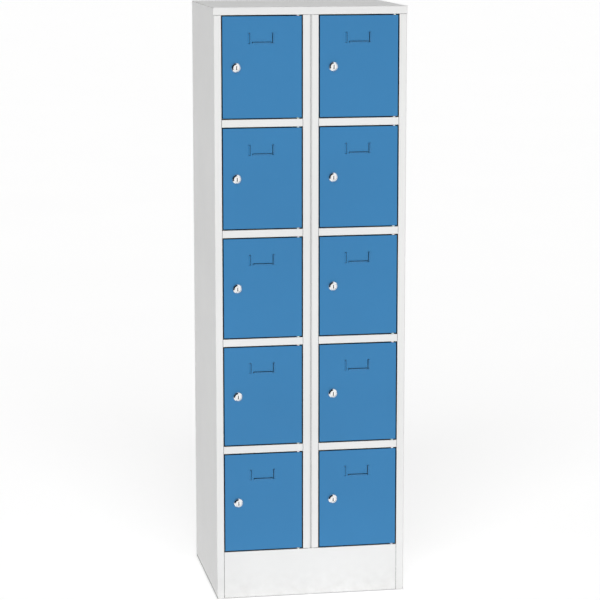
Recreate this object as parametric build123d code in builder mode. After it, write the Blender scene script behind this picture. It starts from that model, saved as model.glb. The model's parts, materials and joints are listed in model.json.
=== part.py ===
"""Coin operated sheet steel locker, two columns of five compartments.

Millimetres. +X right, +Y towards the back, +Z up. The origin is the centre of
the overall footprint, on the floor. Row 1 is the top row.
"""
from build123d import *
import os
from math import pi, cos, sin, tan, acos, radians, sqrt

os.makedirs("parts", exist_ok=True)

# ---------------------------------------------------------------- dimensions
W, D, H = 600.0, 500.0, 1850.0      # carcass width, depth, height
PROUD = 9.0                         # lock collars stand this far off the doors
T = 1.0                             # sheet thickness
FRONT = -(D + PROUD) / 2 + PROUD    # plane of the door faces and front frame
BACK = FRONT + D

ROWS = 5
OPEN_W = 250.5                      # clear width of a door opening
OPEN_H = 315.6                      # clear height of a door opening
OPEN_TOP = OPEN_H / 2               # top of an opening above its centre
RAIL = 24.0                         # height of a shelf rail and of the top flange
PLINTH = 152.0                      # top of the plinth board
LEFTS = {"left": -276.0, "right": 24.0}     # left edge of the openings, by column
SIDE_X = 299.0                      # outer face of the side panels
JOINT = 0.4                         # gap between the two column modules
GROOVE_W, GROOVE_D = 5.6, 3.0       # recessed strip over that joint
RAIL_GAP = 0.35                     # rail ends to stiles

LIP_L, LIP_R = 19.0, 20.0           # depth of the stile lips, latch and hinge side
STOP = 8.0                          # width of the door stop flange
HEM = 9.0                           # width of the hem on the hinge side
REAR_FLANGE = 18.0                  # width of the uprights' rear flanges
REAR_Y = BACK - 1.6                 # centreline of those flanges
RETURN_Y = FRONT + 28               # back edge of the returns on the front rails
WELD_Y = (FRONT + BACK) / 2 + 12    # middle of the flanges along the sides
SHEET_Z0 = 2.0                      # the outer sheets end this far above the floor
SHEET_Z1 = H - T - 0.1              # and just under the top panel
WELD_GAP = 0.15                     # shelves and foot brackets to the panels

# centreline bend radii
BEND = 3.0                          # outer stile corners
BEND_IN = 1.4                       # at the door openings
BEND_REAR = 1.0
BEND_LIP = 0.8                      # stop or hem
BEND_RAIL = 1.2                     # rails, plinth and top flange

GAP = 3.0                           # gap all round a door
PIN_X = OPEN_W - 14.0               # hinge axis from the opening's left edge
PIN_Y = 6.0                         # hinge axis behind the front plane
PIN_R = 2.0
PIN_HOLE_R = PIN_R + 0.2
BUSH_R = 3.0                        # bush sleeve in the door flange
BUSH_FLANGE_R = 4.6
RUN = 0.05                          # radial running clearance
BUFFER_X, BUFFER_Z = 4.3, 118.0     # from the opening's left edge; above and below centre

LOCK_X, LOCK_Z = 45.6, -0.6         # lock axis from the opening's left edge, centre

CENTRES = [PLINTH + OPEN_H / 2 + r * (OPEN_H + RAIL) for r in range(ROWS)][::-1]
CAP_Z = PLINTH + ROWS * OPEN_H + (ROWS - 1) * RAIL      # underside of the top flange
DOORS = [(f"{side}_{row}", left, centre)
         for side, left in LEFTS.items() for row, centre in enumerate(CENTRES, 1)]
HINGES = [(left + PIN_X, FRONT + PIN_Y) for left in LEFTS.values()]

FROM_BASE = (Align.CENTER, Align.CENTER, Align.MIN)
FROM_FRONT = (Align.CENTER, Align.MIN, Align.CENTER)


def save(part, name):
    part.label = name
    export_step(part, f"parts/{name}.step")


def turned(outline, plane, axis):
    """Solid of revolution of a closed outline."""
    with BuildPart() as body:
        with BuildSketch(plane):
            with BuildLine():
                Polyline(*outline, close=True)
            make_face()
        revolve(axis=axis)
    return body.part


def rod(radius, length):
    """Cylinder running backwards (+Y) from the current location."""
    Cylinder(radius, length, rotation=(-90, 0, 0), align=FROM_BASE)


def bore(radius, length):
    """Hole along Y, centred on the current location."""
    Cylinder(radius, length, rotation=(90, 0, 0), mode=Mode.SUBTRACT)


# ------------------------------------------------------------------- uprights
# The side panels and the two centre partitions are one folded sheet each: a
# rear flange, the panel, the front stile, a lip into the carcass and a stop
# (latch side) or a hem (hinge side). Paths are (x, y) along the sheet's middle.

def outer_wall(side):
    """Path of a side panel up to its front corner; side is -1 or 1."""
    wall = side * (SIDE_X - T / 2)
    return [(wall - side * REAR_FLANGE, REAR_Y), (wall, REAR_Y), (wall, FRONT + T / 2)]


def joint_wall(side):
    """Path of a partition, stepped round the groove over the joint."""
    wall = side * (JOINT / 2 + T / 2)
    groove = side * (GROOVE_W / 2 + T / 2)
    return [
        (wall + side * REAR_FLANGE, REAR_Y),
        (wall, REAR_Y),
        (wall, FRONT + GROOVE_D + T / 2),
        (groove, FRONT + GROOVE_D + T / 2),
        (groove, FRONT + T / 2),
    ]


def latch_lip(column):
    x = LEFTS[column] - T / 2
    y = FRONT + LIP_L - T / 2
    return [(x, FRONT + T / 2), (x, y), (LEFTS[column] + STOP, y)]


def hinge_lip(column):
    x = LEFTS[column] + OPEN_W + T / 2
    y = FRONT + LIP_R - T / 2
    return [(x, FRONT + T / 2), (x, y), (x + HEM, y)]


def outer_cuts(side):
    """Stile and front corner; each cut is x, y, width, depth."""
    return [(side * (SIDE_X - T - 30), FRONT + 14, 60, 32), (side * SIDE_X, FRONT, 4, 7)]


def upright(name, path, bends, bottom, top_cuts, latch_column=None):
    with BuildPart() as sheet:
        with BuildSketch(Plane.XY.offset(bottom)):
            with BuildLine():
                FilletPolyline(*path, radius=bends)
            trace(line_width=T)
        extrude(amount=SHEET_Z1 - bottom)
        # the stile stops under the top panel's front flange
        for x, y, width, depth in top_cuts:
            with Locations((x, y, H)):
                Box(width, depth, 2 * (H - CAP_Z + 0.2), mode=Mode.SUBTRACT)
        # holes for the door buffers, two to each opening
        if latch_column:
            x = LEFTS[latch_column] + BUFFER_X
            with Locations([(x, FRONT + 17, z + s * BUFFER_Z) for z in CENTRES for s in (-1, 1)]):
                bore(1.6, 6)
    save(sheet.part, name)


PARTITION_Z0 = PLINTH + 0.9         # the partitions stand just clear of the plinth
OUTER_BENDS = (BEND_REAR, BEND, BEND_IN, BEND_LIP)
JOINT_BENDS = (BEND_REAR, 0.6, 0.6, 1.0, BEND_IN, BEND_LIP)
JOINT_CUTS = [(0, FRONT + 14, 120, 32)]

upright("side_panel_left", outer_wall(-1) + latch_lip("left"), OUTER_BENDS, SHEET_Z0,
        outer_cuts(-1), latch_column="left")
upright("side_panel_right", outer_wall(1) + hinge_lip("right"), OUTER_BENDS, SHEET_Z0,
        outer_cuts(1))
upright("partition_left", joint_wall(-1) + hinge_lip("left"), JOINT_BENDS, PARTITION_Z0,
        JOINT_CUTS)
upright("partition_right", joint_wall(1) + latch_lip("right"), JOINT_BENDS, PARTITION_Z0,
        JOINT_CUTS, latch_column="right")

# ------------------------------------------------------------------ top panel
# One folded sheet, 24 mm front flange with a return that carries the upper
# hinge pins of the top row; welding flanges inside at both sides.
with BuildPart() as top_panel:
    with BuildSketch(Plane.YZ.offset(-W / 2)):
        with BuildLine():
            FilletPolyline(
                (RETURN_Y, CAP_Z + T / 2),
                (FRONT + T / 2, CAP_Z + T / 2),
                (FRONT + T / 2, H - T / 2),
                (BACK, H - T / 2),
                radius=(BEND_RAIL, 1.8),
            )
        trace(line_width=T)
    extrude(amount=W)
    for side in (-1, 1):
        # the return fits between the side panels
        with Locations((side * (W / 2 - 0.85), FRONT + 20, CAP_Z)):
            Box(2.5, 36, 12, mode=Mode.SUBTRACT)
        with Locations((side * (SIDE_X - T - 0.1 - T / 2), WELD_Y, H - T - 9)):
            Box(T, D - 60, 18.4)
    with Locations([(x, y, CAP_Z) for x, y in HINGES]):
        Cylinder(PIN_HOLE_R, 6, mode=Mode.SUBTRACT)
save(top_panel.part, "top_panel")

# ----------------------------------------------------------------- back panel
# Two holes fix the locker to a wall.
WALL_X, WALL_Z, WALL_R = 200.0, 1790.0, 3.5
with BuildPart() as back_panel:
    with BuildSketch(Plane.XZ.offset(-(BACK - T))):
        with Locations((0, (SHEET_Z1 + SHEET_Z0) / 2)):
            Rectangle(2 * SIDE_X - 0.4, SHEET_Z1 - SHEET_Z0)
        with Locations((-WALL_X, WALL_Z), (WALL_X, WALL_Z)):
            Circle(WALL_R, mode=Mode.SUBTRACT)
    extrude(amount=-T)
save(back_panel.part, "back_panel")

# --------------------------------------------------------------------- plinth
# Board between the side stiles; its top return carries the lower hinge pins
# of the bottom row.
STOP_SLOT_W, STOP_SLOT_D = STOP + 1, T + 0.6    # slot round a latch stop

with BuildPart() as plinth_front:
    with BuildSketch(Plane.YZ.offset(LEFTS["left"] + RAIL_GAP)):
        with BuildLine():
            FilletPolyline(
                (RETURN_Y, PLINTH - T / 2),
                (FRONT + T / 2, PLINTH - T / 2),
                (FRONT + T / 2, SHEET_Z0 + T / 2),
                (FRONT + 16, SHEET_Z0 + T / 2),
                radius=(BEND_RAIL, BEND_RAIL),
            )
        trace(line_width=T)
    extrude(amount=LEFTS["right"] + OPEN_W - LEFTS["left"] - 2 * RAIL_GAP)
    # slots round the latch stop of the left stile
    with Locations((LEFTS["left"] + STOP / 2, FRONT + LIP_L - T / 2, PLINTH / 2)):
        Box(STOP_SLOT_W, STOP_SLOT_D, PLINTH + 10, mode=Mode.SUBTRACT)
    with Locations([(x, y, PLINTH) for x, y in HINGES]):
        Cylinder(PIN_HOLE_R, 6, mode=Mode.SUBTRACT)
save(plinth_front.part, "plinth_front")

# ---------------------------------------------------------------------- floor
# Floor of the bottom compartments, with down-turned edges.
FLOOR_X = SIDE_X - T - 0.2                      # half width
FLOOR_Y0, FLOOR_Y1 = RETURN_Y + 0.3, BACK - 3.0
FLOOR_EDGE_H, FLOOR_EDGE_Z = 24, PLINTH - 13    # height and middle of the edges

with BuildPart() as floor_panel:
    with BuildSketch(Plane.XY.offset(PLINTH - T)):
        with Locations((0, (FLOOR_Y0 + FLOOR_Y1) / 2)):
            Rectangle(2 * FLOOR_X, FLOOR_Y1 - FLOOR_Y0)
    extrude(amount=T)
    for side in (-1, 1):
        with Locations((side * (FLOOR_X - T / 2), WELD_Y, FLOOR_EDGE_Z)):
            Box(T, D - 70, FLOOR_EDGE_H)
    for y in (FLOOR_Y0 + T / 2, FLOOR_Y1 - T / 2):
        with Locations((0, y, FLOOR_EDGE_Z)):
            Box(2 * FLOOR_X - 30, T, FLOOR_EDGE_H)
save(floor_panel.part, "floor_panel")


# -------------------------------------------------------------------- shelves
# One folded sheet each: a bottom return, the 24 mm front rail, the shelf and a
# rear flange. The rail butts between the stiles; the shelf widens behind them
# to reach the panels.
def build_shelves(column, shelf_x0, shelf_x1):
    """The four shelves of a column, as one file."""
    left = LEFTS[column]
    rail_x0 = left + RAIL_GAP
    rail_x1 = left + OPEN_W - RAIL_GAP
    rear_y = BACK - 2.8
    over = 20                       # the end cuts run this far past the shelf
    cut_h = 60
    with BuildPart() as shelves:
        for centre in CENTRES[:-1]:
            top = centre - OPEN_H / 2
            bottom = top - RAIL
            middle = top - RAIL / 2
            with BuildSketch(Plane.YZ.offset(shelf_x0)):
                with BuildLine():
                    FilletPolyline(
                        (RETURN_Y, bottom + T / 2),
                        (FRONT + T / 2, bottom + T / 2),
                        (FRONT + T / 2, top - T / 2),
                        (rear_y, top - T / 2),
                        (rear_y, top - 16),
                        radius=(BEND_RAIL, BEND_RAIL, BEND_REAR),
                    )
                trace(line_width=T)
            extrude(amount=shelf_x1 - shelf_x0)
            # clear the stiles and the latch stop at the ends of the rail
            with Locations(((shelf_x0 + rail_x0 - over) / 2, FRONT + LIP_L / 2, middle)):
                Box(rail_x0 - shelf_x0 + over, LIP_L + 1.0, cut_h, mode=Mode.SUBTRACT)
            with Locations((left + STOP / 2, FRONT + LIP_L - T / 2, middle)):
                Box(STOP_SLOT_W, STOP_SLOT_D, cut_h, mode=Mode.SUBTRACT)
            with Locations(((shelf_x1 + rail_x1 + over) / 2, FRONT + LIP_R / 2, middle)):
                Box(shelf_x1 - rail_x1 + over, LIP_R + 1.0, cut_h, mode=Mode.SUBTRACT)
            # side flanges for the welds
            for x in (shelf_x0 + T / 2, shelf_x1 - T / 2):
                with Locations((x, WELD_Y, top - 8.5)):
                    Box(T, D - 70, 15)
            # hinge pin holes, in the rail's return and in the shelf
            with Locations((left + PIN_X, FRONT + PIN_Y, middle)):
                Cylinder(PIN_HOLE_R, 40, mode=Mode.SUBTRACT)
    save(shelves.part, f"shelves_{column}")


SHELF_INNER = JOINT / 2 + T + WELD_GAP
SHELF_OUTER = SIDE_X - T - WELD_GAP
build_shelves("left", -SHELF_OUTER, -SHELF_INNER)
build_shelves("right", SHELF_INNER, SHELF_OUTER)


# --------------------------------------------------------------------- hinges
def save_at_hinges(upper, name):
    """Copy an upper hinge piece, z = 0 at the opening edge, to every door's
    top, and turned over to its bottom."""
    with BuildPart() as pieces:
        for _, left, centre in DOORS:
            with Locations((left + PIN_X, FRONT + PIN_Y, centre + OPEN_H / 2)):
                add(upper)
            with Locations((left + PIN_X, FRONT + PIN_Y, centre - OPEN_H / 2)):
                add(upper, rotation=(180, 0, 0))
    save(pieces.part, name)


# Rivet-headed pins. Columns: radius, z.
PIN_TIP = GAP + 2.6
pin_outline = [
    (0, -PIN_TIP), (PIN_R - 0.4, -PIN_TIP), (PIN_R, -PIN_TIP + 0.4), (PIN_R, T + 0.05),
    (3.5, T + 0.05), (3.5, T + 0.6), (2.6, T + 1.4), (0, T + 1.4),
]
save_at_hinges(turned(pin_outline, Plane.XZ, Axis.Z), "hinge_pins")

# Nylon bushes: a washer in the gap and a sleeve in the door flange's hole.
BUSH_END = GAP + T + 1.4
bush_outline = [
    (PIN_R + RUN, -0.02), (BUSH_FLANGE_R, -0.02), (BUSH_FLANGE_R, -GAP + 0.1),
    (BUSH_R, -GAP + 0.1), (BUSH_R, -BUSH_END), (PIN_R + RUN, -BUSH_END),
]
save_at_hinges(turned(bush_outline, Plane.XZ, Axis.Z), "hinge_bushes")

# -------------------------------------------------------------------- buffers
# Rubber buffers pushed into the stop flange behind each door's latch edge.
# Columns: radius, y behind the front plane.
buffer_outline = [
    (0, 16.15), (2.6, 16.15), (3.4, 16.7), (3.4, 17.9), (1.5, 17.9),
    (1.5, 19.1), (2.2, 19.4), (1.2, 21.4), (0, 21.4),
]
one_buffer = turned(buffer_outline, Plane.XY, Axis.Y)

with BuildPart() as door_buffers:
    for _, left, centre in DOORS:
        with Locations([(left + BUFFER_X, FRONT, centre + s * BUFFER_Z) for s in (-1, 1)]):
            add(one_buffer)
save(door_buffers.part, "door_buffers")

# ----------------------------------------------------------------------- feet
# Levelling feet in the four corners of the base, on angle brackets.
FEET = [(side * 272.0, y) for side in (-1, 1) for y in (FRONT + 48, BACK - 42)]
BRACKET_X = SIDE_X - T - WELD_GAP       # outer face
BRACKET_W, BRACKET_D, BRACKET_H = 46, 44, 32
BRACKET_T = 2.5
BRACKET_Z = 28.0                        # underside
NUT_R, NUT_H = 7.5, 6.5
NUT_GAP = 0.05                          # nuts to bracket
STUD_R = 4

with BuildPart() as foot_brackets:
    for x, y in FEET:
        side = 1 if x > 0 else -1
        plate_z = BRACKET_Z + BRACKET_T / 2
        with Locations((side * (BRACKET_X - BRACKET_W / 2), y, plate_z)):
            Box(BRACKET_W, BRACKET_D, BRACKET_T)
        with Locations((side * (BRACKET_X - BRACKET_T / 2), y, BRACKET_Z + BRACKET_H / 2)):
            Box(BRACKET_T, BRACKET_D, BRACKET_H)
        with Locations((x, y, plate_z)):
            Cylinder(STUD_R + 0.2, 10, mode=Mode.SUBTRACT)
save(foot_brackets.part, "foot_brackets")

with BuildPart() as levelling_feet:
    with Locations([(x, y, 0) for x, y in FEET]):
        # pad, step and stud
        for radius, height in ((15, 5), (11, 8), (STUD_R, 58)):
            Cylinder(radius, height, align=FROM_BASE)
save(levelling_feet.part, "levelling_feet")

with BuildPart() as foot_nuts:
    for z in (BRACKET_Z + BRACKET_T + NUT_GAP, BRACKET_Z - NUT_GAP - NUT_H):
        with BuildSketch(Plane.XY.offset(z)):
            with Locations(FEET):
                RegularPolygon(NUT_R, 6)
                Circle(STUD_R + 0.15, mode=Mode.SUBTRACT)
        extrude(amount=NUT_H)
save(foot_nuts.part, "foot_nuts")

# ---------------------------------------------------------------------- door
# Door leaf, local origin at the opening's left edge, front plane, mid height.
DOOR_D = 16.0                       # depth of the door tray
DOOR_RET = 12.0                     # inward return at the back of the tray
DOOR_X0, DOOR_X1 = GAP, OPEN_W - GAP
DOOR_W, DOOR_MID = DOOR_X1 - DOOR_X0, (DOOR_X0 + DOOR_X1) / 2
DOOR_Z = OPEN_H / 2 - GAP           # half height
MITRE = 7.2                         # middle of a mitre joint from the door's corner
TUBE_R = 11.0                       # lock cylinder housing

# Three lanced lips, each beside its slot, hold a card.
CARD_LIP_H, CARD_LIP_W, CARD_LIP_T = 2.6, 5.5, 0.9
SLOT = 1.5                          # slot left in the door skin along each lip's edge
SLIT = 1.2                          # slit across each end of a lip
SLOT_Y = T + 0.2                    # depth the slots are cut to
lip_drop = CARD_LIP_T * sqrt(1 + (CARD_LIP_H / CARD_LIP_W) ** 2)
lip_inside = CARD_LIP_H - lip_drop  # height of the hollow at the lip's edge
# Lip sections. Columns: distance from the lip's edge, distance in front of the door.
lip_outline = [(0, -0.5), (0, CARD_LIP_H), (0.35, CARD_LIP_H), (CARD_LIP_W, 0), (CARD_LIP_W, -0.5)]
lip_hollow = [
    (-SLOT, -SLOT_Y), (-SLOT, 0.2), (0, 0.2), (0, lip_inside),
    (CARD_LIP_W * (lip_inside + SLOT_Y) / CARD_LIP_H, -SLOT_Y),
]
# Left, right and bottom lip. Columns: sketch plane, start along its normal,
# length, sketch point for a point of the lip section.
CARD_LIPS = (
    (Plane.XY, OPEN_TOP - 85.5, 30.5, lambda across, out: (86.4 - across, -out)),
    (Plane.XY, OPEN_TOP - 84.0, 29.0, lambda across, out: (157.7 + across, -out)),
    (Plane.YZ, 95.3, 58.4, lambda across, out: (-out, OPEN_TOP - 82.3 - across)),
)

with BuildPart() as leaf:
    with BuildSketch(Plane.XZ):
        with Locations((DOOR_MID, 0)):
            RectangleRounded(DOOR_W, 2 * DOOR_Z, 1.2)
    extrude(amount=-DOOR_D)
    fillet(leaf.faces().sort_by(Axis.Y)[0].edges(), radius=1.6)
    # hollow the tray, then open its back inside the returns
    with Locations((DOOR_MID, DOOR_D / 2, 0)):
        Box(DOOR_W - 2 * T, DOOR_D - 2 * T, 2 * DOOR_Z - 2 * T, mode=Mode.SUBTRACT)
    with Locations((DOOR_MID, DOOR_D, 0)):
        Box(DOOR_W - 2 * DOOR_RET, 6, 2 * DOOR_Z - 2 * DOOR_RET, mode=Mode.SUBTRACT)
    # mitre joints of the returns
    for sx, corner_x in ((1, DOOR_X0), (-1, DOOR_X1)):
        for sz in (-1, 1):
            at = (corner_x + sx * MITRE, DOOR_D, sz * (DOOR_Z - MITRE))
            with Locations(Location(at, (0, sx * sz * 45, 0))):
                Box(16.5, 2.4, 0.4, mode=Mode.SUBTRACT)
    # raise all the card lips, then cut their hollows, slots and end slits
    for section, overrun, mode in (
        (lip_outline, 0, Mode.ADD),
        (lip_hollow, SLIT, Mode.SUBTRACT),
    ):
        for plane, start, length, to_sketch in CARD_LIPS:
            with BuildSketch(plane.offset(start - overrun)):
                with BuildLine():
                    Polyline([to_sketch(across, out) for across, out in section], close=True)
                make_face()
            extrude(amount=length + 2 * overrun, mode=mode)
    # lock hole and the hinge holes in the top and bottom flanges
    with Locations((LOCK_X, 0, LOCK_Z)):
        bore(TUBE_R + 0.1, 6)
    with Locations((PIN_X, PIN_Y, DOOR_Z), (PIN_X, PIN_Y, -DOOR_Z)):
        Cylinder(BUSH_R + RUN, 6, mode=Mode.SUBTRACT)

# ----------------------------------------------------------------- coin lock
# Local origin on the lock axis at the front plane of the door.
PLUG_R = 8.7
CASE_Y0, CASE_Y1, CASE_Y2 = T + 0.05, 19.3, 36.0     # door skin, shallow back, deep back
CASE_X0, CASE_XD, CASE_X1 = -22.0, 14.0, 50.0        # left edge, deep part's left, right edge
CASE_Z0, CASE_Z1 = -40.0, 34.0
CASE_H, CASE_MID_Z = CASE_Z1 - CASE_Z0, (CASE_Z0 + CASE_Z1) / 2
CASE_R = 5                                           # corner radius
COVER_T = 2.0
COVER_Y = CASE_Y2 + 0.02                             # front of the cover
COIN_X = 30.0                                        # coin plane
COIN_R, COIN_T = 13.0, 2.8
CAV_Y0, CAV_Y1 = 9.6, 17.3                           # cavity of pinion and rack
CAV_D, CAV_MID_Y = CAV_Y1 - CAV_Y0, (CAV_Y0 + CAV_Y1) / 2
TRACK_Z, TRACK_H = 5.0, 49.0                         # middle and height of the slide's track
SHAFT_R = 4

# Chrome collar and cylinder housing. Columns: radius, y.
BORE_R = PLUG_R + RUN
tube_outline = [
    (BORE_R, -PROUD + 0.35), (BORE_R + 0.35, -PROUD), (9.8, -PROUD),
    (10.15, -PROUD + 0.08), (10.45, -PROUD + 0.28), (13.45, -PROUD + 3.28),
    (13.75, -PROUD + 3.65), (13.95, -PROUD + 4.15), (14.0, -PROUD + 4.7),
    (14.0, -1.25), (14.3, -1.15), (14.4, -0.95), (14.4, -0.05),
    (TUBE_R, -0.05), (TUBE_R, 9.4), (BORE_R, 9.4),
]
lock_tube = turned(tube_outline, Plane.XY, Axis.Y)

with BuildPart() as lock_case:      # die-cast box on the inside of the door
    for case_left, case_back in ((CASE_X0, CASE_Y1), (CASE_XD, CASE_Y2)):
        with BuildSketch(Plane.XZ.offset(-CASE_Y0)):
            with Locations(((case_left + CASE_X1) / 2, CASE_MID_Z)):
                RectangleRounded(CASE_X1 - case_left, CASE_H, CASE_R)
        extrude(amount=-(case_back - CASE_Y0))
    # seat of the cylinder housing, room for the pinion, rear bearing
    with Locations((0, CASE_Y0, 0)):
        bore(TUBE_R + RUN, 2 * (CAV_Y0 - CASE_Y0))
    with Locations((0, CAV_MID_Y, 0)):
        bore(PLUG_R + 0.6, CAV_D)
    with Locations((0, CASE_Y1, 0)):
        bore(SHAFT_R + RUN, 12)
    # track of the coin slide and the coin chamber beside it
    with Locations((11.0, CAV_MID_Y, TRACK_Z)):
        Box(12.0, CAV_D, TRACK_H, mode=Mode.SUBTRACT)
    with Locations((31.0, (CAV_Y0 + CASE_Y2) / 2 + 2, TRACK_Z)):
        Box(30.0, CASE_Y2 - CAV_Y0 + 4, TRACK_H, mode=Mode.SUBTRACT)
    # coin return cup below the chamber
    with Locations((31.5, CASE_Y2 - 7, -30.0)):
        Box(31.0, 18, 15.0, mode=Mode.SUBTRACT)

with BuildPart() as lock_cover:     # rear cover with the coin slot and the cup's mouth
    with BuildSketch(Plane.XZ.offset(-COVER_Y)):
        with Locations(((CASE_XD + CASE_X1) / 2, CASE_MID_Z)):
            RectangleRounded(CASE_X1 - CASE_XD, CASE_H, CASE_R)
        with Locations((COIN_X, 0)):
            Rectangle(3.4, 2 * COIN_R + 2, mode=Mode.SUBTRACT)
        with Locations((31.5, -30.5)):
            RectangleRounded(26, 12, 2.5, mode=Mode.SUBTRACT)
    extrude(amount=-COVER_T)
    chamfer(lock_cover.faces().sort_by(Axis.Y)[-1].outer_wire().edges(), length=0.6)

# Two slotted screws hold the cover on the case.
SCREW_XS, SCREW_Z = (20.0, 44.0), 31.7
SCREW_Y = CASE_Y2 + COVER_T + 0.03
with BuildPart() as cover_screws:
    with Locations([(x, SCREW_Y, SCREW_Z) for x in SCREW_XS]):
        rod(1.9, 1.2)
    with Locations([(x, SCREW_Y + 1.27, SCREW_Z) for x in SCREW_XS]):
        Box(2.6, 0.9, 0.5, mode=Mode.SUBTRACT)

# ----------------------------------------------------------------- lock plug
# Plug with its pinion, the cam and the cam's screw.
MODULE, TEETH = 1.0, 12             # lock pinion and the rack of the coin slide
PRESSURE = radians(20)
PITCH = pi * MODULE
TOOTH_W = PITCH / 2 - 0.40          # tooth thickness at the pitch line, with backlash
PITCH_R = MODULE * TEETH / 2
BASE_R = PITCH_R * cos(PRESSURE)
PLUG_Y0 = -PROUD + 0.55             # front face of the plug
KEY_Y = -PROUD + 0.5                # middle of the key slot cutters
CAM_L, CAM_W, CAM_T = 60.0, 16.0, 2.5
CAM_Y = 20.05                       # front of the cam
CAM_SCREW_H = 2.2


def involute(angle):
    return tan(angle) - angle


def flank(radius):
    """Half angle of a pinion tooth at a radius."""
    angle = acos(min(1.0, BASE_R / radius))
    return TOOTH_W / 2 / PITCH_R + involute(PRESSURE) - involute(angle)


tooth = [(4.75, flank(BASE_R))] + [(r, flank(r)) for r in (BASE_R, 5.95, 6.35, 6.8)]
pinion_outline = []
for k in range(TEETH):
    mid = 2 * pi * k / TEETH
    pinion_outline += [(r * cos(mid - half), r * sin(mid - half)) for r, half in tooth]
    pinion_outline += [(r * cos(mid + half), r * sin(mid + half)) for r, half in tooth[::-1]]

with BuildPart() as plug:
    with Locations((0, PLUG_Y0, 0)):
        rod(PLUG_R, 9.5 - PLUG_Y0)
    chamfer(plug.faces().sort_by(Axis.Y)[0].edges(), length=0.4)
    # shaft to the cam, with a square end
    with Locations((0, 9.0, 0)):
        rod(SHAFT_R, 11.0)
    with Locations((0, 21.1, 0)):
        Box(5.2, 2.4, 5.2)
    with BuildSketch(Plane.XZ.offset(-9.3)):
        with BuildLine():
            Polyline(pinion_outline, close=True)
        make_face()
    extrude(amount=-5.5)
    # key slot, upright, with the wider foot of a profiled keyway
    with Locations((0, KEY_Y, 0)):
        Box(2.4, 14, 11.6, mode=Mode.SUBTRACT)
    with Locations((0, KEY_Y, -4.6)):
        Box(4.2, 14, 2.2, mode=Mode.SUBTRACT)

with BuildPart() as cam:            # points up from the lock axis
    with BuildSketch(Plane.XZ.offset(-CAM_Y)):
        with Locations((0, (CAM_L - CAM_W / 2) / 2)):
            RectangleRounded(CAM_W, CAM_L + CAM_W / 2, 3)
        Rectangle(5.4, 5.4, mode=Mode.SUBTRACT)
    extrude(amount=-CAM_T)

with BuildPart() as cam_screw:
    with Locations((0, CAM_Y + CAM_T + 0.02, 0)):
        rod(5.0, CAM_SCREW_H)
    chamfer(cam_screw.faces().sort_by(Axis.Y)[-1].edges(), length=0.6)
    with Locations((0, CAM_Y + CAM_T + CAM_SCREW_H, 0)):
        Box(7.0, 1.4, 1.2, mode=Mode.SUBTRACT)

# ---------------------------------------------------------------- coin slide
# A rack driven by the pinion, carrying the coin pocket.
SLIDE_Y0 = 10.0                     # front face
SLIDE_H = 36.0
RACK_BACK_X = 17.5                  # the rack overlaps the slide's block up to here
ADDENDUM, DEDENDUM = 0.65, 1.15
rack_tip = PITCH_R - ADDENDUM
rack_root = PITCH_R + DEDENDUM
tip_half = TOOTH_W / 2 - ADDENDUM * tan(PRESSURE)
root_half = TOOTH_W / 2 + DEDENDUM * tan(PRESSURE)
rack_outline = [(RACK_BACK_X, -SLIDE_H / 2), (rack_root, -SLIDE_H / 2)]
for k in range(-5, 2):
    mid = (k + 0.5) * PITCH
    # the flanks below and above the tooth's middle slope to a narrower tip
    rack_outline += [
        (rack_root, mid - TOOTH_W / 2 - DEDENDUM * tan(PRESSURE)),
        (rack_tip, mid - tip_half),
        (rack_tip, mid + tip_half),
        (rack_root, mid + root_half),
    ]
rack_outline += [(rack_root, SLIDE_H / 2), (RACK_BACK_X, SLIDE_H / 2)]

with BuildPart() as slide:
    with BuildSketch(Plane.XZ.offset(-SLIDE_Y0)):
        with BuildLine():
            Polyline(rack_outline, close=True)
        make_face()
    extrude(amount=-4.7)
    with Locations((31.0, SLIDE_Y0, 0)):
        Box(28.0, 25.6, SLIDE_H, align=FROM_FRONT)
    # coin pocket, open to the slot in the cover and at the bottom
    with Locations((COIN_X, 12.0, -3.0)):
        Box(COIN_T, 30, 2 * COIN_R + 6.4, align=FROM_FRONT, mode=Mode.SUBTRACT)


# -------------------------------------------------------- doors and their locks
def save_at(name, at, *parts):
    """Join parts at one place and save them as one piece."""
    with BuildPart() as piece:
        with Locations(at):
            for part in parts:
                add(part)
    save(piece.part, name)


for tag, left, centre in DOORS:
    lock_at = (left + LOCK_X, FRONT, centre + LOCK_Z)
    save_at(f"door_{tag}", (left, FRONT, centre), leaf.part)
    save_at(f"coin_lock_{tag}", lock_at,
            lock_tube, lock_case.part, lock_cover.part, cover_screws.part)
    save_at(f"lock_plug_{tag}", lock_at, plug.part, cam.part, cam_screw.part)
    save_at(f"coin_slide_{tag}", lock_at, slide.part)
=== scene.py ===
# A coin-lock locker cabinet: white powder-coated body, blue doors, chrome lock fronts.
# Metres, +Z up. It stands on the floor at Z = 0 with its front towards -Y.
# The CAD pieces keep their shapes. This script adds materials, floor, lights and camera.
import bpy
import bmesh
import json
import math
from mathutils import Vector, Matrix


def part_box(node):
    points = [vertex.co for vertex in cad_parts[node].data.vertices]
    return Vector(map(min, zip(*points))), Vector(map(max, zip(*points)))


MM = 0.001

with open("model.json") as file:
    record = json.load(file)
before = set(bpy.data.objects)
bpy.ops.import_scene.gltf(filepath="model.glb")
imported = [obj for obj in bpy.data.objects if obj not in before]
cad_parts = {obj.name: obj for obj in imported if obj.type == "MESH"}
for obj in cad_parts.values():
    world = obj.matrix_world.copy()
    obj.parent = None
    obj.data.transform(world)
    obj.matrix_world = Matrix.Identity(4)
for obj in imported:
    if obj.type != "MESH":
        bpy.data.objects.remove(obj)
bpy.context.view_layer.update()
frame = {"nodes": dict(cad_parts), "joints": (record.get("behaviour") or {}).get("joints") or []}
nodes = frame["nodes"]

scene = bpy.context.scene
scene.view_settings.view_transform = "Standard"
scene.view_settings.look = "None"
scene.view_settings.exposure = 0.0
scene.view_settings.gamma = 1.0


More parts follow.
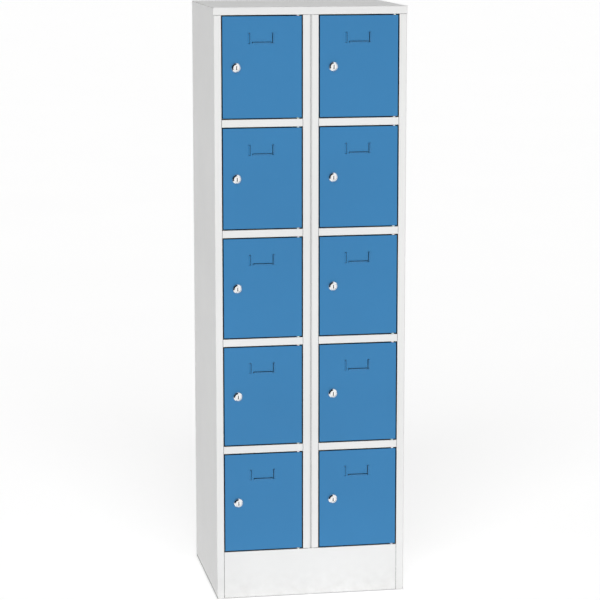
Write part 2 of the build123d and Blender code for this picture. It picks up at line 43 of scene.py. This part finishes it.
# ------------------------------------------------------------------ colours
def srgb_to_linear(*channels):
    """sRGB 0-255 to linear."""
    shares = [channel / 255.0 for channel in channels]
    return tuple(share / 12.92 if share <= 0.04045 else ((share + 0.055) / 1.055) ** 2.4
                 for share in shares)


def tone(colour, factor, lift=0.0):
    """The colour made darker or lighter, held at or below 1."""
    return tuple(min(1.0, channel * factor + lift) for channel in colour)


# -------------------------------------------------------------- node graphs
class Graph:
    """A short way to write shader nodes."""

    def __init__(self, tree):
        self.tree = tree
        tree.nodes.clear()

    def put(self, socket, value):
        """Links a socket to the input, or sets the input to a plain value."""
        if isinstance(value, bpy.types.NodeSocket):
            self.tree.links.new(value, socket)
        elif socket.type == "RGBA":
            socket.default_value = (*value[:3], 1.0)
        else:
            socket.default_value = value

    def put_all(self, node, inputs):
        for name, value in inputs.items():
            self.put(node.inputs[name.replace("_", " ")], value)

    def node(self, kind, **inputs):
        node = self.tree.nodes.new("ShaderNode" + kind)
        self.put_all(node, inputs)
        return node

    def ramp(self, value, start, end, low=0.0, high=1.0):
        """Maps start..end to low..high, clamped."""
        return self.node("MapRange", Value=value, From_Min=start, From_Max=end,
                         To_Min=low, To_Max=high).outputs[0]

    def dot(self):
        node = self.node("VectorMath")
        node.operation = "DOT_PRODUCT"
        return node


class MaterialGraph(Graph):
    """A Principled material whose textures lie in object space."""

    def __init__(self, name):
        self.mat = bpy.data.materials.new(name)
        self.mat.use_nodes = True
        super().__init__(self.mat.node_tree)
        output = self.node("OutputMaterial")
        self.bsdf = self.node("BsdfPrincipled")
        self.put(output.inputs[0], self.bsdf.outputs[0])
        self.coord = self.node("TexCoord").outputs["Object"]

    def noise(self, scale, detail=2.0, rough=0.5, stretch=None):
        node = self.node("TexNoise", Scale=scale, Detail=detail, Roughness=rough)
        source = self.coord
        if stretch:
            source = self.node("Mapping", Scale=stretch, Vector=self.coord).outputs[0]
        self.put(node.inputs["Vector"], source)
        return node.outputs["Fac"]

    def voronoi(self, scale, output="Distance"):
        return self.node("TexVoronoi", Scale=scale, Vector=self.coord).outputs[output]

    def math(self, operation, first, second=0.0):
        node = self.node("Math")
        node.operation = operation
        for socket, value in zip(node.inputs, (first, second, 0.0)):
            self.put(socket, value)
        return node.outputs[0]

    def multiply(self, first, second):
        return self.math("MULTIPLY", first, second)

    def mix(self, factor, first, second):
        """Mixes two colours."""
        node = self.node("Mix")
        node.data_type = "RGBA"
        self.put(node.inputs["Factor"], factor)
        colours = [socket for socket in node.inputs if socket.type == "RGBA"]
        for socket, value in zip(colours, (first, second)):
            self.put(socket, value)
        return [socket for socket in node.outputs if socket.type == "RGBA"][0]

    def axis_size(self, vector, axis):
        """The absolute value of one component of a vector."""
        parts = self.node("SeparateXYZ", Vector=vector)
        return self.math("ABSOLUTE", parts.outputs[axis])

    def bevel_normal(self, radius):
        node = self.node("Bevel", Radius=radius)
        node.samples = 4
        return node.outputs[0]

    def edge(self, radius):
        """1 on convex and concave edges, 0 on flats."""
        geometry = self.node("NewGeometry")
        alignment = self.dot()
        self.put(alignment.inputs[0], self.bevel_normal(radius))
        self.put(alignment.inputs[1], geometry.outputs["Normal"])
        return self.ramp(alignment.outputs["Value"], start=0.995, end=0.86)

    def occlusion(self, distance):
        node = self.node("AmbientOcclusion", Distance=distance)
        node.samples = 4
        return node.outputs["AO"]

    # Painted highlight: lightens the edges towards edge_colour.
    def paint_edge_highlight(self, colour, amount, edge_colour):
        return self.mix(self.multiply(self.edge(radius=0.0005), amount), colour, edge_colour)

    def shade_creases(self, colour, amount, shadow, distance, start=0.1, end=0.8):
        shade = self.ramp(self.occlusion(distance), start, end, low=1.0, high=0.0)
        return self.mix(self.multiply(shade, amount), colour, shadow)

    def bump(self, layers, normal=None):
        """layers: rows of (height socket, distance in metres, strength)."""
        for height, distance, strength in layers:
            node = self.node("Bump", Distance=distance, Strength=strength, Height=height)
            if normal is not None:
                self.put(node.inputs["Normal"], normal)
            normal = node.outputs[0]
        self.put(self.bsdf.inputs["Normal"], normal)

    def set(self, **inputs):
        self.put_all(self.bsdf, inputs)
        return self.mat


# ---------------------------------------------------------- material makers
# Painted shade for the walls of the gaps round the doors.
GAP_SHADE_COLOUR = (0.002, 0.004, 0.006)
GAP_SHADE_STRENGTH = 1.0
DUST_COLOUR = srgb_to_linear(150, 146, 138)
DUST_HEIGHT = 0.10


def paint_gap_shade(graph, colour):
    """Paints shade onto the bends and walls of narrow gaps: surfaces that don't face front or
    back.
    """
    geometry = graph.node("NewGeometry")
    facing = graph.axis_size(geometry.outputs["True Normal"], "Y")
    wall = graph.ramp(facing, start=0.80, end=0.97, low=1.0, high=0.0)
    deep = graph.ramp(graph.occlusion(distance=0.014), start=0.58, end=0.96, low=1.0, high=0.0)
    # The groove in the middle is shallow, so it stays light.
    off_middle = graph.ramp(graph.axis_size(graph.coord, "X"), start=0.008, end=0.010)
    wall = graph.multiply(wall, off_middle)
    gap_shade = graph.multiply(graph.multiply(deep, wall), GAP_SHADE_STRENGTH)
    return graph.mix(gap_shade, colour, GAP_SHADE_COLOUR)


def dust_base(graph, colour, amount):
    """Patchy dust that fades out up to DUST_HEIGHT."""
    height = graph.node("SeparateXYZ", Vector=graph.coord).outputs["Z"]
    low_down = graph.ramp(height, start=0.0, end=DUST_HEIGHT, low=1.0, high=0.0)
    patches = graph.ramp(graph.noise(scale=40.0, detail=4.0), start=0.35, end=0.8)
    dust = graph.multiply(low_down, patches)
    return graph.mix(graph.multiply(dust, amount), colour, DUST_COLOUR)


def powder_coat(name, base, edge_colour, floor_dust=0.0, rim=0.0007):
    """Orange peel, slight colour drift, lighter edges that are part thinned paint and part
    painted highlight, painted shade in creases and gap walls.
    """
    graph = MaterialGraph(name)
    drift = graph.noise(scale=2.3, detail=3.0)
    cloud = graph.noise(scale=18.0)
    peel = graph.noise(scale=330.0, rough=0.45)
    fine = graph.noise(scale=1500.0, rough=0.6)
    colour = graph.mix(graph.ramp(drift, start=0.3, end=0.7), tone(base, 0.955), tone(base, 1.03))
    cloudiness = graph.ramp(cloud, start=0.35, end=0.75, high=0.35)
    colour = graph.mix(cloudiness, colour, tone(base, 0.97))
    speck = graph.ramp(graph.voronoi(scale=260.0), start=0.0, end=0.035, low=1.0, high=0.0)
    colour = graph.mix(graph.multiply(speck, 0.10), colour, tone(base, 0.75))
    # Lighter edges: part thinned paint, part painted highlight along the bends.
    edge = graph.edge(rim)
    patches = graph.noise(scale=70.0, detail=3.0)
    wear_and_highlight = graph.multiply(edge, graph.ramp(patches, start=0.42, end=0.75, low=0.10, high=0.75))
    colour = graph.mix(graph.multiply(wear_and_highlight, 0.55), colour, edge_colour)
    # Painted shade in creases: darker where the surface is occluded.
    colour = graph.shade_creases(colour, amount=0.85, shadow=tone(base, 0.10),
                                 distance=0.011, start=0.05, end=0.75)
    colour = paint_gap_shade(graph, colour)
    if floor_dust:
        colour = dust_base(graph, colour, floor_dust)
    roughness = graph.ramp(graph.noise(scale=45.0, detail=3.0), start=0.3, end=0.7,
                           low=0.38, high=0.47)
    polish = graph.multiply(wear_and_highlight, -0.08)     # worn edges are smoother
    roughness = graph.math("ADD", roughness, polish)
    graph.bump([(peel, 0.00022, 0.42), (fine, 0.00005, 0.30)], graph.bevel_normal(radius=0.0006))
    return graph.set(Base_Color=colour, Roughness=roughness, Metallic=0.0,
                     Specular_IOR_Level=0.42, Coat_Weight=0.12, Coat_Roughness=0.28)


def metal(name, base, rough, grain=0.0, stretch=(1, 1, 1), edge_light=0.3, spangle=0.0,
          tarnish=0.2, crease=0.3):
    """Bare or plated metal: smudges, optional zinc spangle and stretched grain."""
    graph = MaterialGraph(name)
    smudge = graph.noise(scale=55.0, detail=4.0, rough=0.6)
    colour = graph.mix(graph.ramp(smudge, start=0.35, end=0.75, high=tarnish),
                       base, tone(base, 0.72))
    if spangle:
        cells = graph.voronoi(scale=900.0, output="Color")
        brightness = graph.node("RGBToBW", Color=cells).outputs[0]
        colour = graph.mix(graph.multiply(brightness, spangle), colour, tone(base, 0.8))
    # Painted highlight on the edges, painted shade in the creases.
    colour = graph.paint_edge_highlight(colour, edge_light, tone(base, 1.15))
    colour = graph.shade_creases(colour, crease, tone(base, 0.15), distance=0.004)
    roughness = graph.ramp(graph.noise(scale=120.0, detail=3.0), start=0.3, end=0.7,
                           low=rough * 0.85, high=rough * 1.25)
    layers = [(graph.noise(scale=1400.0), 0.00002, 0.15)]
    if grain:
        lines = graph.noise(scale=900.0, rough=0.6, stretch=stretch)
        layers.append((lines, 0.00004, grain))
    graph.bump(layers, graph.bevel_normal(radius=0.0003))
    return graph.set(Base_Color=colour, Roughness=roughness, Metallic=1.0)


def plastic(name, base, rough, grain=0.2, subsurface=0.0, sheen=0.0, scale=700.0, crease=0.25):
    """Mouldings, rubber and enamel: a fine grain and slightly lighter edges, a painted highlight.
    """
    graph = MaterialGraph(name)
    colour = graph.mix(graph.ramp(graph.noise(scale=30.0, detail=3.0), start=0.3, end=0.7),
                       tone(base, 0.92), tone(base, 1.06))
    colour = graph.paint_edge_highlight(colour, 0.35, tone(base, 1.25, lift=0.01))
    if crease:
        colour = graph.shade_creases(colour, crease, tone(base, 0.2), distance=0.005)
    roughness = graph.ramp(graph.noise(scale=90.0, detail=3.0), start=0.3, end=0.7,
                           low=rough - 0.05, high=rough + 0.06)
    graph.bump([(graph.noise(scale, detail=3.0, rough=0.6), 0.00008, grain)],
               graph.bevel_normal(radius=0.0004))
    graph.set(Base_Color=colour, Roughness=roughness, Metallic=0.0)
    if subsurface:
        graph.set(Subsurface_Weight=subsurface, Subsurface_Scale=0.002)
    if sheen:
        graph.set(Sheen_Weight=sheen)
    return graph.mat


MATERIALS = {
    "frame": powder_coat("frame_powder_coat", base=(0.835, 0.835, 0.828),
                         edge_colour=(0.93, 0.93, 0.92), floor_dust=0.18),
    "door": powder_coat("door_powder_coat", base=(0.028, 0.203, 0.446),
                        edge_colour=(0.17, 0.38, 0.64), rim=0.0012),
    "chrome": metal("lock_chrome", (0.93, 0.935, 0.94), rough=0.09, edge_light=0.1,
                    tarnish=0.10, crease=0.6),
    "plug": metal("plug_nickel", (0.95, 0.95, 0.945), rough=0.16, grain=0.25,
                  stretch=(1, 1, 6), tarnish=0.08, crease=0.4),
    # Near-black faces inside the key slot: painted shade.
    "keyway_shade": plastic("keyway_shadow", (0.012, 0.012, 0.013), rough=0.6),
    "case": plastic("lock_case_enamel", (0.035, 0.037, 0.041), rough=0.42, grain=0.35,
                    scale=520.0),
    "cover": plastic("lock_cover_enamel", (0.05, 0.052, 0.057), rough=0.36, grain=0.3,
                     scale=640.0),
    "screw": metal("screw_zinc", (0.66, 0.66, 0.64), rough=0.28, spangle=0.4, crease=0.7),
    "cam": metal("cam_zinc_plate", (0.63, 0.64, 0.63), rough=0.33, grain=0.5,
                 stretch=(8, 8, 0.6), spangle=0.5),
    "slide": metal("slide_zinc_casting", (0.45, 0.455, 0.46), rough=0.48, spangle=0.6,
                   tarnish=0.5),
    "pin": metal("pin_zinc", (0.62, 0.62, 0.61), rough=0.3, spangle=0.4),
    "nylon": plastic("bush_nylon", (0.95, 0.96, 0.97), rough=0.38, grain=0.15,
                     subsurface=0.5, crease=0.0),
    "rubber": plastic("buffer_rubber", (0.022, 0.022, 0.023), rough=0.78, grain=0.5,
                      sheen=0.3, scale=420.0),
    "bracket": metal("bracket_zinc", (0.6, 0.61, 0.61), rough=0.36, spangle=0.7, tarnish=0.4),
    "foot": plastic("foot_moulding", (0.03, 0.03, 0.031), rough=0.55, grain=0.4),
}


# ------------------------------------------------- materials on the CAD pieces
def dress(node, *keys):
    """Gives a CAD node these materials, with all its faces on the first."""
    mesh = nodes[node].data
    mesh.materials.clear()
    for key in keys:
        mesh.materials.append(MATERIALS[key])
    mesh.polygons.foreach_set("material_index", [0] * len(mesh.polygons))
    return mesh


BODY_PREFIXES = ("side_panel", "partition", "top_panel", "back_panel", "floor_panel", "plinth",
                 "shelves")
for name in nodes:
    if name.startswith("door_") and name != "door_buffers":
        dress(name, "door")
    elif name.startswith("coin_slide"):
        dress(name, "slide")
    elif name.startswith(BODY_PREFIXES):
        dress(name, "frame")

dress("hinge_pins", "pin")
dress("hinge_bushes", "nylon")
dress("door_buffers", "rubber")
dress("foot_brackets", "bracket")
dress("foot_nuts", "screw")

FOOT_PAD_TOP = 0.0085
for face in dress("levelling_feet", "foot", "screw").polygons:
    # The pad is moulded, and the stud above it is zinc plated.
    if face.center.z > FOOT_PAD_TOP:
        face.material_index = 1

# Lock sizes in mm. Depths run from the turn joint towards the back (+Y), radii from its axis.
FLANGE_DEPTH, FLANGE_RADIUS = 1.04, 14.6
COLLAR_DEPTH, COLLAR_RADIUS = 9.45, 11.02
COVER_START = 36.01
COVER_SCREW_START = 38.02
KEYWAY_START, KEYWAY_END, KEYWAY_RADIUS = -8.40, 0, 7.2
CAM_START = 20.04
CAM_SCREW_START = 22.56


def lock_slot(depth, radius):
    """Slots: 0 case, 1 chrome, 2 cover, 3 screw."""
    if depth < FLANGE_DEPTH and radius < FLANGE_RADIUS:
        return 1
    if depth < COLLAR_DEPTH and radius < COLLAR_RADIUS:
        return 1
    if depth > COVER_SCREW_START:
        return 3
    return 2 if depth > COVER_START else 0


def plug_slot(depth, radius):
    """Slots: 0 plug, 1 keyway (painted shade: near-black faces inside the key slot), 2 cam, 3
    screw.
    """
    if depth > CAM_SCREW_START:
        return 3
    if depth > CAM_START:
        return 2
    return 1 if KEYWAY_START < depth < KEYWAY_END and radius < KEYWAY_RADIUS else 0


def sort_faces(mesh, pivot, choose_slot):
    for face in mesh.polygons:
        offset = (face.center - pivot) / MM
        face.material_index = choose_slot(offset.y, math.hypot(offset.x, offset.z))


JOINT_PREFIX = "lock_turn_"
for joint in frame["joints"]:
    if joint["name"].startswith(JOINT_PREFIX):
        tag = joint["name"][len(JOINT_PREFIX):]
        pivot = Vector(joint["pos_m"])
        lock = dress("coin_lock_" + tag, "case", "chrome", "cover", "screw")
        sort_faces(lock, pivot, lock_slot)
        plug = dress("lock_plug_" + tag, "plug", "keyway_shade", "cam", "screw")
        sort_faces(plug, pivot, plug_slot)


# -------------------------------------------------------------------- floor
def add_floor():
    bpy.ops.mesh.primitive_circle_add(vertices=64, radius=90.0, fill_type="NGON",
                                      location=(0, 0, 0))
    floor = bpy.context.object
    floor.name = "studio_floor"
    graph = MaterialGraph("studio_floor")
    paper = graph.mix(graph.ramp(graph.noise(scale=0.9, detail=3.0), start=0.3, end=0.7),
                      (0.79, 0.79, 0.79), (0.81, 0.81, 0.808))
    path = graph.node("LightPath").outputs
    graph.bump([(graph.noise(scale=60.0, detail=3.0), 0.0004, 0.2)])
    # Brighter when seen directly or reflected, without lighting the cabinet more.
    seen = graph.math("MAXIMUM", path["Is Camera Ray"], path["Is Glossy Ray"])
    glow = graph.ramp(seen, start=0.0, end=1.0, low=0.50, high=0.61)
    graph.set(Base_Color=paper, Roughness=0.9, Specular_IOR_Level=0.1,
              Emission_Color=(1.0, 1.0, 1.0), Emission_Strength=glow)
    floor.data.materials.append(graph.mat)


# -------------------------------------------------------------------- world
AMBIENT = 0.20          # grey level that lights the cabinet
BACKDROP = 1.0          # grey level the camera sees
FLAG_DIRECTION = Vector((-0.80, -0.20, 0.56)).normalized()      # up to the left


def switch(graph, ray_type, otherwise, chosen):
    """One value for rays of this type, another for the rest."""
    node = graph.node("Mix")
    node.data_type = "FLOAT"
    for index, value in ((0, ray_type), (2, otherwise), (3, chosen)):
        graph.put(node.inputs[index], value)
    return node.outputs[0]


def add_world():
    """Plain grey light, with a dark flag that only reflections see."""
    world = bpy.data.worlds.new("studio")
    scene.world = world
    world.use_nodes = True
    graph = Graph(world.node_tree)
    output = graph.node("OutputWorld")
    background = graph.node("Background", Strength=1.0)
    graph.put(output.inputs[0], background.outputs[0])
    coordinates = graph.node("TexCoord")
    path = graph.node("LightPath").outputs
    alignment = graph.dot()
    graph.put(alignment.inputs[1], FLAG_DIRECTION)
    graph.put(alignment.inputs[0], coordinates.outputs["Generated"])
    flag = graph.ramp(alignment.outputs["Value"], start=0.40, end=0.60, low=1.0, high=0.015)
    level = switch(graph, path["Is Glossy Ray"], AMBIENT, flag)
    level = switch(graph, path["Is Camera Ray"], level, BACKDROP)
    grey = graph.node("CombineColor")
    for socket in grey.inputs[:3]:
        graph.put(socket, level)
    graph.put(background.inputs["Color"], grey.outputs[0])


BOARD_LENGTH, BOARD_HEIGHT = 3.6, 3.0


def add_dark_board():
    """The foot of the flag: an upright board to the left, seen only in reflections."""
    centre = Matrix.Translation((-2.4, -0.9, BOARD_HEIGHT / 2))
    size = Matrix.Diagonal((1, BOARD_LENGTH, BOARD_HEIGHT, 1))
    upright = Matrix.Rotation(math.radians(90), 4, "Y")
    builder = bmesh.new()
    bmesh.ops.create_grid(builder, x_segments=1, y_segments=1, size=0.5,
                          matrix=centre @ size @ upright)
    mesh = bpy.data.meshes.new("dark_board")
    builder.to_mesh(mesh)
    builder.free()
    board = bpy.data.objects.new("dark_board", mesh)
    scene.collection.objects.link(board)
    graph = MaterialGraph("dark_board")
    graph.bump([(graph.noise(scale=300.0, detail=3.0), 0.0005, 0.3)])
    colour = graph.mix(graph.noise(scale=4.0), (0.010, 0.010, 0.010), (0.016, 0.016, 0.016))
    graph.set(Base_Color=colour, Roughness=0.95, Specular_IOR_Level=0.0)
    mesh.materials.append(graph.mat)
    for ray in ("camera", "diffuse", "shadow", "transmission", "volume_scatter"):
        setattr(board, "visible_" + ray, False)


def add_key_light():
    """A broad, soft sun from the front, above and slightly left."""
    light = bpy.data.lights.new("key_soft", "SUN")
    light.energy = 1.715
    light.angle = math.radians(50)
    sun = bpy.data.objects.new("key_soft", light)
    scene.collection.objects.link(sun)
    sun.rotation_mode = "QUATERNION"
    sun.rotation_quaternion = Vector((-0.085, -0.42, 0.236)).to_track_quat("Z", "Y")
    sun.visible_glossy = False


# ------------------------------------------------------------------- camera
LENS_MM = 138.3774
YAW = math.radians(10.0640)         # to the right of +Y
PITCH = math.radians(9.8187)        # downwards
ROLL = math.radians(-0.0248)
EYE = Vector((-1.26444, -6.92926, 2.16599))     # Y is measured from the plinth's front


def add_camera():
    lens = bpy.data.cameras.new("camera")
    camera = bpy.data.objects.new("camera", lens)
    scene.collection.objects.link(camera)
    scene.camera = camera
    lens.sensor_width = 36.0
    lens.lens = LENS_MM
    lens.clip_start = 0.1
    lens.clip_end = 300.0
    forward = Vector((math.sin(YAW) * math.cos(PITCH), math.cos(YAW) * math.cos(PITCH),
                      -math.sin(PITCH)))
    level_right = Vector((math.cos(YAW), -math.sin(YAW), 0.0))
    level_up = level_right.cross(forward)
    right = math.cos(ROLL) * level_right + math.sin(ROLL) * level_up
    up = -math.sin(ROLL) * level_right + math.cos(ROLL) * level_up
    eye = EYE + Vector((0.0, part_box("plinth_front")[0].y, 0.0))
    rows = zip(right, up, -forward, eye)
    camera.matrix_world = Matrix((*rows, (0, 0, 0, 1)))


add_floor()
add_world()
add_dark_board()
add_key_light()
add_camera()
